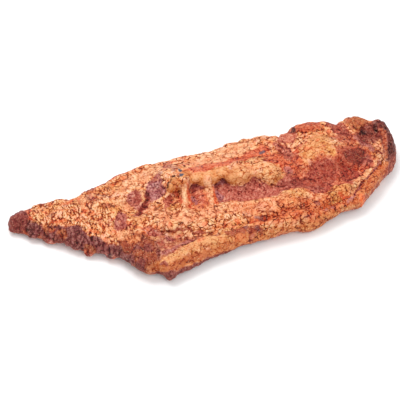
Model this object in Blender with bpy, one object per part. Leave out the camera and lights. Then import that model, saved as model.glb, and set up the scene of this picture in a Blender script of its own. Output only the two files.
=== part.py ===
"""Smoked pork ribs: one whole slab, lying with its inner side up, as one solid.

Metres, +Z up. X runs along the slab from its thin tip (-X) to its broad end (+X). Y runs across it, from
the side of the cut rib tips (-Y) to the side of the back (+Y). The origin is under the middle of the slab's
box, on the surface that it rests on.
"""

import math

import bmesh
import bpy
import numpy as np
from mathutils import Vector, noise

# Driving dimensions
LENGTH = 0.460
RIB_PITCH = 0.030
# Roundness of the long edges above and below, and of the two ends seen from above
RIM_RADIUS = 0.012
UNDERSIDE_RADIUS = 0.012
TIP_RADIUS = 0.013
BROAD_END_RADIUS = 0.007
# Where the widest part of the rim lies and how far the upper side falls to each edge, in shares of thickness
RIM_LEVEL = 0.40
FRONT_FALL = 0.30
BACK_FALL = 0.12
# The underside: its curl towards the long edges, its wave over each rib, and how much of it lies flat
UNDERSIDE_CURL = 0.003
CURL_START = 0.45
UNDERSIDE_WAVE = 0.0008
REST_DEPTH = 0.0012

# How finely the solid is divided
RINGS = 104
PLACES = 57
SECTION_POINTS = 241
UNDERSIDE_SHARE = 0.42
MIDDLE_DENSITY = 0.35
MIDDLE_REACH = 0.11
END_DENSITY = 3.0
SMALLEST_CLOSE = 1e-4

# Lumps of fat all over the slab, lower on the underside
LUMP_SIZE = 0.015
LUMP_HEIGHT = 0.0040
LUMP_WARP = 0.3
UNDERSIDE_CALM = 0.5
WAVE_SIZE = 0.045
WAVE_HEIGHT = 0.0020
SEED_OFFSET = Vector((3.7, 1.9, 8.3))

# The two long edges of the slab seen from above, as (x, y). The front edge has the cut rib tips.
FRONT_EDGE = (
    (-0.230, 0.016), (-0.215, 0.009), (-0.192, -0.004), (-0.165, -0.022), (-0.151, -0.035),
    (-0.130, -0.046), (-0.112, -0.060), (-0.097, -0.082), (-0.083, -0.084), (-0.075, -0.094),
    (-0.065, -0.090), (-0.040, -0.083), (0.008, -0.069), (0.055, -0.065), (0.092, -0.061),
    (0.115, -0.058), (0.134, -0.049), (0.156, -0.045), (0.180, -0.027), (0.200, -0.010),
    (0.218, 0.006), (0.230, 0.028),
)
BACK_EDGE = (
    (-0.230, 0.037), (-0.202, 0.045), (-0.182, 0.047), (-0.158, 0.043), (-0.134, 0.049), (-0.096, 0.066),
    (-0.060, 0.074), (-0.010, 0.077), (0.040, 0.082), (0.078, 0.084), (0.108, 0.081), (0.121, 0.090),
    (0.140, 0.095), (0.158, 0.094), (0.171, 0.086), (0.186, 0.089), (0.198, 0.086), (0.214, 0.077),
    (0.230, 0.073),
)
# Thickness along the middle, as (x, z)
CROWN = (
    (-0.230, 0.016), (-0.200, 0.019), (-0.150, 0.025), (-0.100, 0.028), (-0.040, 0.028), (0.050, 0.029),
    (0.120, 0.031), (0.180, 0.030), (0.230, 0.026),
)

# Ledges, where the fat stands above what lies in front of it: the ledge's line seen from above, which way
# the high side faces (1 for the back, -1 for the front), its rise, the width of its steep face, and how far
# it stays high behind the chord between its ends and then takes to fade away
LEDGES = {
    "scalloped front of the chine ridge": (
        ((-0.056, 0.026), (-0.047, 0.011), (-0.039, 0.020), (-0.029, 0.015), (-0.020, 0.021),
         (-0.007, 0.010), (0.003, 0.014), (0.014, 0.020), (0.029, 0.001), (0.045, 0.011),
         (0.062, -0.003), (0.074, 0.004)),
        1, 0.0085, 0.008, 0.010, 0.034,
    ),
    "upper fat over the belly": (
        ((-0.078, -0.034), (-0.062, -0.043), (-0.045, -0.044), (-0.028, -0.046), (-0.012, -0.053),
         (0.014, -0.053), (0.036, -0.050)),
        1, 0.0040, 0.007, 0.006, 0.022,
    ),
    "lower fat beside the lean band": (
        ((-0.004, -0.017), (0.016, -0.020), (0.034, -0.021), (0.060, -0.019), (0.086, -0.016),
         (0.104, -0.027)),
        -1, 0.0035, 0.006, 0.004, 0.018,
    ),
    "back flap": (
        ((0.114, 0.076), (0.124, 0.073), (0.140, 0.072), (0.156, 0.075)),
        1, 0.0042, 0.005, 0.004, 0.010,
    ),
}
LEDGE_END = 0.016

# Raised and sunk places on the upper side: centre x, y, half length, half width, turn in degrees, height
MOUNDS = {
    "tip knob": (-0.219, 0.025, 0.012, 0.013, 0, 0.0026),
    "tip neck": (-0.203, 0.022, 0.005, 0.016, 15, -0.0025),
    "belly bulge": (-0.104, -0.052, 0.024, 0.020, -35, 0.0045),
    "left hump": (-0.135, 0.010, 0.030, 0.022, 20, 0.0020),
    "lobe over the first rib": (-0.027, 0.024, 0.009, 0.009, 0, 0.0020),
    "lobe over the second rib": (-0.005, 0.021, 0.010, 0.010, 10, 0.0028),
    "lobe over the third rib": (0.027, 0.013, 0.012, 0.013, 20, 0.0032),
    "lobe over the fourth rib": (0.064, 0.009, 0.012, 0.014, 10, 0.0024),
    "pocket before the first rib": (-0.041, 0.013, 0.005, 0.006, 10, -0.0040),
    "pocket before the second rib": (-0.019, 0.013, 0.008, 0.008, 0, -0.0055),
    "pocket before the third rib": (0.012, 0.012, 0.008, 0.007, 20, -0.0060),
    "pocket before the fourth rib": (0.046, 0.004, 0.010, 0.008, 25, -0.0015),
    "lean hollow at the left": (-0.092, 0.016, 0.013, 0.010, 40, -0.0030),
    "lean hollow by the groove": (-0.066, 0.020, 0.011, 0.012, 20, -0.0025),
    "fat cushion": (0.134, 0.036, 0.036, 0.028, -10, 0.0055),
    "hollow at the broad end": (0.165, 0.004, 0.026, 0.018, 25, -0.0040),
    "burnt pit": (0.196, 0.052, 0.009, 0.009, 0, -0.0050),
    "outer burnt pit": (0.211, 0.048, 0.006, 0.008, 0, -0.0035),
    "lump by the notch": (0.189, 0.074, 0.013, 0.011, 0, 0.0040),
    "corner lump": (0.221, 0.064, 0.008, 0.010, 0, 0.0045),
}

# Rolls and grooves: the line that each follows, its half width and its height
ROLLS = {
    "valley": (((-0.112, 0.004), (-0.070, 0.003), (-0.030, 0.000), (0.010, -0.004), (0.060, -0.006),
                (0.110, -0.003), (0.150, 0.003)), 0.020, -0.0050),
    "chine ridge": (((-0.062, 0.038), (-0.020, 0.036), (0.020, 0.033), (0.060, 0.029), (0.088, 0.026)),
                    0.016, 0.0020),
    "rib before the first pocket": (((-0.057, 0.012), (-0.061, -0.014)), 0.006, 0.0028),
    "first rib": (((-0.033, 0.014), (-0.040, -0.016)), 0.005, 0.0040),
    "second rib": (((-0.003, 0.009), (-0.007, -0.016)), 0.006, 0.0040),
    "groove in the lean meat": (((-0.074, 0.016), (-0.081, 0.003), (-0.091, -0.012)), 0.005, -0.0055),
    "hollow in front of the upper fat": (((-0.080, -0.042), (-0.060, -0.052), (-0.040, -0.053),
                                          (-0.022, -0.056), (0.000, -0.060)), 0.007, -0.0025),
    "crease in the shelf": (((0.034, -0.039), (0.047, -0.042), (0.058, -0.045)), 0.006, -0.0016),
    "front rim roll": (((-0.092, -0.074), (-0.077, -0.072), (-0.053, -0.067), (-0.026, -0.063),
                        (0.015, -0.060), (0.057, -0.055), (0.097, -0.052)), 0.010, 0.0040),
    "groove inside the front rim": (((-0.012, -0.052), (0.014, -0.050), (0.034, -0.050), (0.061, -0.048),
                                     (0.092, -0.043)), 0.006, -0.0028),
    "groove inside the lower lip": (((0.110, -0.046), (0.138, -0.038), (0.154, -0.028), (0.176, -0.014),
                                     (0.200, 0.004)), 0.006, -0.0035),
    "crease in the back rim": (((-0.110, 0.046), (-0.092, 0.054), (-0.070, 0.060)), 0.005, -0.0022),
    "notch in the back": (((0.171, 0.062), (0.171, 0.086)), 0.008, -0.0040),
    "first torn groove": (((0.082, 0.058), (0.100, 0.026)), 0.005, -0.0024),
    "second torn groove": (((0.095, 0.060), (0.112, 0.032)), 0.005, -0.0024),
    "curled broad end": (((0.202, 0.074), (0.219, 0.060), (0.220, 0.036), (0.206, 0.012)), 0.012, 0.0050),
}

# Lumps on the rim, most of them cut rib tips: x, y, z, radius, push
RIM_KNOBS = {
    "tip end": (-0.226, 0.020, 0.008, 0.010, 0.0020),
    "rib tip 1": (-0.205, 0.004, 0.006, 0.009, 0.0020),
    "rib tip 2": (-0.187, -0.008, 0.006, 0.009, 0.0030),
    "rib tip 3": (-0.164, -0.024, 0.007, 0.011, 0.0035),
    "rib tip 4": (-0.149, -0.036, 0.006, 0.007, 0.0030),
    "rib tip 5": (-0.129, -0.046, 0.006, 0.008, 0.0030),
    "hanging flap": (-0.075, -0.092, 0.004, 0.009, 0.0030),
    "lower lip": (0.146, -0.048, 0.008, 0.016, 0.0025),
    "flap end": (0.118, 0.080, 0.022, 0.008, 0.0022),
}

SMOKED_COLOUR = (0.62, 0.27, 0.11, 1.0)
SMOKED_ROUGHNESS = 0.5


def smooth(t):
    """0 below 0, 1 above 1, with an even rise between."""
    t = np.clip(t, 0.0, 1.0)
    return t * t * (3.0 - 2.0 * t)


def curve_through(points, x):
    """The height at x of a smooth curve through the points, as cubic pieces with shared slopes."""
    xs, ys = np.array(points).T
    slopes = np.gradient(ys, xs)
    i = np.clip(np.searchsorted(xs, x) - 1, 0, len(xs) - 2)
    step = xs[i + 1] - xs[i]
    t = np.clip((x - xs[i]) / step, 0.0, 1.0)
    start = (1.0 + 2.0 * t) * (1.0 - t) ** 2 * ys[i] + t * (1.0 - t) ** 2 * slopes[i] * step
    end = t * t * (3.0 - 2.0 * t) * ys[i + 1] + t * t * (t - 1.0) * slopes[i + 1] * step
    return start + end


def quarter_round(distance, radius):
    """Rises from 0 at an edge to 1 at a radius inside it, along a quarter of a circle."""
    inside = np.clip(distance / radius, 0.0, 1.0)
    return np.sqrt(1.0 - (1.0 - inside) ** 2)


def end_round(x):
    """Draws the sections together at both ends of the slab."""
    left = quarter_round(x + LENGTH / 2, TIP_RADIUS)
    right = quarter_round(LENGTH / 2 - x, BROAD_END_RADIUS)
    return left * right


def distance_to_line(x, y, line):
    """How far each point is from the nearest stretch of a line."""
    nearest = np.full(np.shape(x), np.inf)
    for (x0, y0), (x1, y1) in zip(line, line[1:]):
        dx, dy = x1 - x0, y1 - y0
        along = np.clip(((x - x0) * dx + (y - y0) * dy) / (dx * dx + dy * dy), 0.0, 1.0)
        nearest = np.minimum(nearest, np.hypot(x - x0 - along * dx, y - y0 - along * dy))
    return nearest


def swell(distance):
    """1 in the middle of a feature, 0 from its edge outwards."""
    return (1.0 - np.clip(distance, 0.0, 1.0) ** 2) ** 2


def ledge_height(x, y, line, high_side, rise, face_width, plateau, fade):
    """The height that one ledge adds: a steep face along its line, a level stretch and a slow fall."""
    (x0, y0), (x1, y1) = line[0], line[-1]
    behind_line = (y - curve_through(line, x)) * high_side
    behind_chord = (y - y0 - (x - x0) * (y1 - y0) / (x1 - x0)) * high_side
    steep = smooth(behind_line / face_width + 0.5)
    gentle = 1.0 - smooth((behind_chord - plateau) / fade)
    along = smooth((x - x0) / LEDGE_END + 0.5) * smooth((x1 - x) / LEDGE_END + 0.5)
    return rise * steep * gentle * along


def relief(x, y):
    """The height that the named ledges, mounds, rolls and grooves add to the upper side."""
    height = np.zeros(np.shape(x))
    for ledge in LEDGES.values():
        height += ledge_height(x, y, *ledge)
    for centre_x, centre_y, half_length, half_width, turn, rise in MOUNDS.values():
        c, s = math.cos(math.radians(turn)), math.sin(math.radians(turn))
        along = (x - centre_x) * c + (y - centre_y) * s
        across = (y - centre_y) * c - (x - centre_x) * s
        height += rise * swell(np.hypot(along / half_length, across / half_width) / math.sqrt(2.0))
    for line, half_width, rise in ROLLS.values():
        height += rise * swell(distance_to_line(x, y, line) / half_width)
    return height


def upper_side(x, y, front, back):
    """The height of the upper side before its rim is rounded."""
    across = (2.0 * y - front - back) / (back - front)
    fall = FRONT_FALL * smooth(-across) + BACK_FALL * smooth(across)
    return curve_through(CROWN, x) * (1.0 - fall) + relief(x, y)


def under_side(x, y, front, back):
    """The height of the underside: it curls up at the long edges and has a slight wave for each rib."""
    across = (2.0 * y - front - back) / (back - front)
    curl = UNDERSIDE_CURL * smooth((np.abs(across) - CURL_START) / (1.0 - CURL_START))
    wave = UNDERSIDE_WAVE * np.cos(2.0 * math.pi * x / RIB_PITCH)
    return curl + wave - REST_DEPTH


def section(x):
    """One closed section across the slab at x, from the front rim over the top and back underneath: the share
    of the way round at each of its points, and their y and z."""
    close = max(end_round(x), SMALLEST_CLOSE)
    middle = (curve_through(FRONT_EDGE, x) + curve_through(BACK_EDGE, x)) / 2
    half = (curve_through(BACK_EDGE, x) - curve_through(FRONT_EDGE, x)) / 2 * close
    front, back = middle - half, middle + half
    y = np.linspace(front, back, SECTION_POINTS)
    from_edge = half - np.abs(y - middle)
    xs = np.full_like(y, x)
    rim = RIM_LEVEL * curve_through(CROWN, x)
    rise = close * quarter_round(from_edge, min(RIM_RADIUS, half))
    drop = close * quarter_round(from_edge, min(UNDERSIDE_RADIUS, half))
    top = rim + (upper_side(xs, y, front, back) - rim) * rise
    under = rim + (under_side(xs, y, front, back) - rim) * drop
    ys = np.concatenate([y, y[-2::-1]])
    zs = np.concatenate([top, under[-2::-1]])
    steps = np.hypot(np.diff(ys), np.diff(zs))
    steps[SECTION_POINTS - 1:] *= UNDERSIDE_SHARE
    walked = np.concatenate([[0.0], np.cumsum(steps)])
    return walked / walked[-1], ys, zs


def ring_positions():
    """Where along X each ring lies: close together at the ends, and a little closer in the middle."""
    x = np.linspace(-LENGTH / 2, LENGTH / 2, 40 * RINGS + 1)
    from_end = LENGTH / 2 - np.abs(x)
    density = 1.0 + MIDDLE_DENSITY * swell(np.abs(x) / MIDDLE_REACH)
    density += END_DENSITY * swell(from_end / TIP_RADIUS)
    walked = np.concatenate([[0.0], np.cumsum((density[1:] + density[:-1]) / 2)])
    return np.interp(np.linspace(0.0, walked[-1], RINGS + 1), walked, x)


def shape_slab(bm):
    """Moves each vertex of a unit sphere, whose poles lie on the X axis, to its place on the slab."""
    stations = ring_positions()
    sections = [section(x) for x in stations]
    for vertex in bm.verts:
        a, b, c = vertex.co
        ring = round(math.acos(max(-1.0, min(1.0, -a))) / math.pi * RINGS)
        turned = math.atan2(c, -b) / (2.0 * math.pi) % 1.0
        shares, ys, zs = sections[ring]
        vertex.co = (stations[ring], np.interp(turned, shares, ys), np.interp(turned, shares, zs))


def lump_height(point):
    """Domes of fat that meet in creases, over long shallow waves."""
    place = point / LUMP_SIZE + SEED_OFFSET
    warp = Vector((noise.noise(place), noise.noise(place.zxy), noise.noise(place.yzx))) * LUMP_WARP
    distances, _ = noise.voronoi(place + warp)
    dome = 0.5 - min(1.0, distances[0])
    wave = noise.noise(point / WAVE_SIZE + SEED_OFFSET)
    return LUMP_HEIGHT * dome + WAVE_HEIGHT * wave


def push_out(bm):
    """Gives the whole skin its lumps and the rim its knobs, along the normals, then flattens the base."""
    bm.normal_update()
    pushes = []
    for vertex in bm.verts:
        calm = 1.0 - UNDERSIDE_CALM * float(smooth(-vertex.normal.z))
        push = lump_height(vertex.co) * calm
        for x, y, z, radius, rise in RIM_KNOBS.values():
            push += rise * float(swell((vertex.co - Vector((x, y, z))).length / radius))
        pushes.append(vertex.normal * push)
    for vertex, push in zip(bm.verts, pushes):
        vertex.co += push
        vertex.co.z = max(vertex.co.z, 0.0)


def smoked_material():
    material = bpy.data.materials.new("smoked_pork")
    material.use_nodes = True
    shader = material.node_tree.nodes["Principled BSDF"]
    shader.inputs["Base Color"].default_value = SMOKED_COLOUR
    shader.inputs["Roughness"].default_value = SMOKED_ROUGHNESS
    shader.inputs["Metallic"].default_value = 0.0
    material.diffuse_color = SMOKED_COLOUR
    return material


def make_rib_slab(collection):
    mesh = bpy.data.meshes.new("rib_slab")
    bm = bmesh.new()
    bmesh.ops.create_uvsphere(bm, u_segments=PLACES, v_segments=RINGS, radius=1.0)
    turn = Vector((1.0, 0.0, 0.0)).rotation_difference(Vector((0.0, 0.0, 1.0))).to_matrix()
    bmesh.ops.rotate(bm, verts=bm.verts, matrix=turn.transposed())
    shape_slab(bm)
    push_out(bm)
    bmesh.ops.recalc_face_normals(bm, faces=bm.faces)
    bm.to_mesh(mesh)
    bm.free()
    mesh.shade_smooth()
    mesh.materials.append(smoked_material())
    slab = bpy.data.objects.new("rib_slab", mesh)
    collection.objects.link(slab)
    return slab


def main():
    for obj in list(bpy.data.objects):
        bpy.data.objects.remove(obj, do_unlink=True)
    collection = bpy.data.collections.new("smoked_pork_ribs")
    bpy.context.scene.collection.children.link(collection)
    make_rib_slab(collection)


main()
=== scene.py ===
"""Smoked pork ribs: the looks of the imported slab, in its own frame, in metres.

X runs along the slab from its thin tip (-X) to its broad end (+X), Y from the cut rib tips to the back, and
+Z is up. Sizes and places of single features are written in mm.
"""

import math

import bmesh
import bpy
import numpy as np
from mathutils import Matrix, Vector, noise


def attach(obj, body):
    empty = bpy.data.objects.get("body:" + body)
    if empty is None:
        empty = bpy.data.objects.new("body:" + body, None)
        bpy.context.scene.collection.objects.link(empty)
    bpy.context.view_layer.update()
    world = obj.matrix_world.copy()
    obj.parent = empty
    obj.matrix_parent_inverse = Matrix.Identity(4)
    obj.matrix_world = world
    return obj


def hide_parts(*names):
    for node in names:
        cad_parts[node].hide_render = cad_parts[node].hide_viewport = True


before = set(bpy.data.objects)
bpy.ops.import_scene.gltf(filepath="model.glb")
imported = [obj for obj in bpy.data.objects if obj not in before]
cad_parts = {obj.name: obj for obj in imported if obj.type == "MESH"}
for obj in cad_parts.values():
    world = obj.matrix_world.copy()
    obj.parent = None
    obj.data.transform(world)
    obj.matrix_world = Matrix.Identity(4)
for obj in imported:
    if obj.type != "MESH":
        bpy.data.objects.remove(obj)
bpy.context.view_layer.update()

MM = 0.001

# How bright the lights make a level white surface, and what a dark one mirrors of them
LIGHT = 1.38
SHINE = 0.02

# The skin of the slab: how finely it is divided and how much the facets of the solid are evened out
VOXEL = 1.33 * MM
EVEN_STEPS = 8
EVEN_FACTOR = 0.5

# Lumps that are welded to the slab before its skin is made: what each paints and its places, each with its
# centre, its half sizes and, if it is turned about Z, its turn in degrees
LOBE = dict(lean=0, char=0, smoke=0.08, cream=0, red=0.1, violet=0, amber=0.6, calm=0.95)
LUMPS = {
    "roofs of pockets": (LOBE, (-15, 23, 33, 12, 7, 5), (12, 22.5, 33, 11, 7, 5)),
    "lobe over second rib": (LOBE, (-2, 20, 31, 14, 8, 6, 8)),
    "nose of second lobe": (LOBE, (-6, 17, 31, 8, 6, 5)),
    "lobe over third rib": (dict(LOBE, smoke=0.3, amber=0.8), (29, 15.5, 31.5, 15, 9, 7)),
    "nose of third lobe": (dict(LOBE, smoke=0.35, amber=0.8), (31, 11.5, 31, 9, 6.5, 6)),
    "slopes in pockets": ({}, (-18, 20, 21.5, 10, 17, 5.5), (11, 20, 20.5, 11, 17, 5.5)),
    "lobe over fourth rib": (dict(LOBE, calm=0.2), (66, 9, 31, 11, 9, 7.5)),
    "amber lumps": (dict(lean=0, char=0, smoke=0.35, cream=0, amber=1, red=0.3, calm=0.6),
        (-48, 15, 31, 4, 4, 4.5), (-43, 22, 35, 4.5, 4, 4), (-39, 17, 32.5, 4, 4.5, 4.5),
        (-30, 17, 32, 4, 4.5, 4.5)),
    "dark knob on back": (dict(lean=1, char=0.4, smoke=0.6), (-137, 43, 10, 9, 6, 7, 10)),
    "buds under rim": (dict(lean=0.5, char=0, smoke=0.3, red=0.7, amber=0.3),
        (-188, -5, 6, 8, 5, 4, -35), (-150, -34, 6, 6, 5, 4, -35), (-128, -45, 7, 7, 5, 4, -30)),
    "bulge of front rim": (dict(amber=0.6), (92, -55.5, 9, 20, 8.5, 9, 8)),
}

# The fat over the ribs: what it paints, its outline seen from above, and how high its scalloped foot is at
# places along X
RIDGE = dict(lean=0, char=0, smoke=0, red=0.15, amber=0.4, calm=0.5)
RIDGE_OUTLINE = (
    (-32, 8), (-20, 2), (40, -8), (80, -10), (80, 22), (60, 24), (30, 26), (0, 30), (-24, 30),
)
RIDGE_FOOT = (
    (-52, 29), (-40, 27), (-35, 30), (-29, 28), (-24, 29), (-16, 29), (-10, 28), (-3, 26), (3, 27.5),
    (9, 28), (16, 28), (22, 28), (30, 28), (40, 28.5), (46, 31), (52, 30), (60, 27), (68, 26), (74, 28),
    (80, 29),
)

# Outlined areas seen from above: what each paints, in shares, except "up", which is in mm, and the points of
# its outline. The soft areas come first and fade out over a wide edge.
SOFT_AREAS = {
    "reddish brown before burnt pits": (dict(lean=0.45, red=0.6, smoke=0.45, cream=0),
        (153, 55), (168, 60), (184, 54), (188, 40), (180, 34), (166, 34), (157, 40)),
    "red fat beside fourth lobe": (dict(red=0.85, lean=0.2, smoke=0.35, cream=0),
        (68, 38), (84, 46), (102, 42), (108, 22), (104, 2), (88, 4), (74, 14), (62, 22)),
    "pale back of left half": (dict(cream=0.9, calm=0.3, red=0, smoke=0),
        (-106, 38), (-92, 50), (-60, 62), (-48, 60), (-52, 46), (-76, 36), (-98, 28)),
    "red meat round deep lean meat": (dict(lean=0.5, red=1, smoke=0.75, cream=0, amber=0, calm=0.3),
        (150, 24), (162, 31), (182, 32), (191, 22), (188, 6), (178, -1), (165, 0), (152, 8)),
    # The pockets under the roofs of fat are lean meat, darkened with painted shade
    "first pocket": (dict(lean=1, char=0.1, smoke=1, violet=0.5, up=-0.5),
        (-29, 13), (-28, 24), (-18, 28), (-8, 24), (-8, 15), (-13, 13), (-20, 12), (-25, 12)),
    "second pocket": (dict(lean=1, char=0.1, smoke=1, violet=0.9, up=-0.5),
        (-1, 11), (0, 22), (11, 28), (22, 25), (25, 14), (18, 12), (10, 11), (4, 10)),
    # The bulge by the front rim: brown crust, darkened further with painted shade
    "belly bulge": (
        dict(amber=1, violet=0.1, calm=0.3, smoke=1, cream=0, red=0.3, char=0.3, lean=0.2, up=0.6),
        (-117, -33), (-107, -36), (-95, -42), (-86, -48), (-79, -55), (-79, -68), (-84, -79), (-93, -84),
        (-103, -80), (-111, -66), (-117, -50), (-120, -42)),
    "mauve strip under overhang": (dict(lean=0.45, violet=0.3, smoke=0.3, amber=0.8, calm=0.4),
        (-76, -45), (-64, -47), (-48, -50), (-32, -54), (-28, -57), (-39, -60), (-49, -62), (-59, -67),
        (-72, -74), (-81, -77), (-84, -68), (-81, -56)),
    "fat below rib columns": (dict(cream=0.7, red=0.25, amber=0.3, smoke=0, lean=0.1),
        (-76, -8), (-60, -16), (-44, -16), (-28, -20), (-6, -20), (8, -20), (6, -36), (-20, -40),
        (-50, -38), (-78, -30)),
    "lower shelf": (dict(smoke=0.25, red=0.75, amber=0.7, cream=0.1),
        (25, -40), (50, -42), (80, -36), (84, -56), (50, -58), (25, -56)),
    "fat behind stripe": (dict(cream=1, calm=0.3, red=0, smoke=0, lean=0),
        (-14, 40), (14, 44), (40, 52), (62, 61), (62, 76), (30, 72), (0, 66), (-14, 58)),
    "shelf of fat": (dict(calm=0.45, cream=0.5, smoke=0, lean=0, red=0.4),
        (8, -20), (40, -25), (76, -25), (80, -32), (60, -40), (30, -40), (8, -36)),
    "fat cushion": (dict(calm=0.55, amber=0.7, smoke=0.12, lean=0),
        (112, 39), (122, 51), (139, 64), (148, 61), (149, 38), (150, 22), (146, 13), (135, 17), (120, 16),
        (109, 11), (106, 20)),
    "reddish zone": (dict(lean=0.5, red=0.7, up=-0.3),
        (86, -6), (90, 8), (112, 15), (124, 24), (140, 20), (150, 28), (165, 34), (180, 30), (194, 22),
        (194, -2), (182, -8), (166, -14), (150, -22), (120, -31), (104, -30), (92, -16)),
    "burnt zone": (dict(lean=0.75, char=0.35, smoke=0.85, violet=0.2, red=0.6, calm=0.2, knobs=0.7),
        (186, 55), (194, 62), (207, 66), (219, 70), (230, 60), (221, 45), (212, 36), (200, 33), (188, 32),
        (183, 41)),
    "inside of curl": (dict(amber=0.35, lean=0.2, violet=0.2, char=0),
        (189, 26), (200, 31), (207, 25), (207, 12), (203, 5), (193, 6), (185, 12)),
    "lower fat at broad end": (dict(smoke=0.3, red=0.65, amber=0.7, cream=0.1),
        (84, -30), (104, -36), (130, -30), (150, -24), (165, -12), (182, -4), (192, 4), (140, -60),
        (84, -66)),
}
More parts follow.
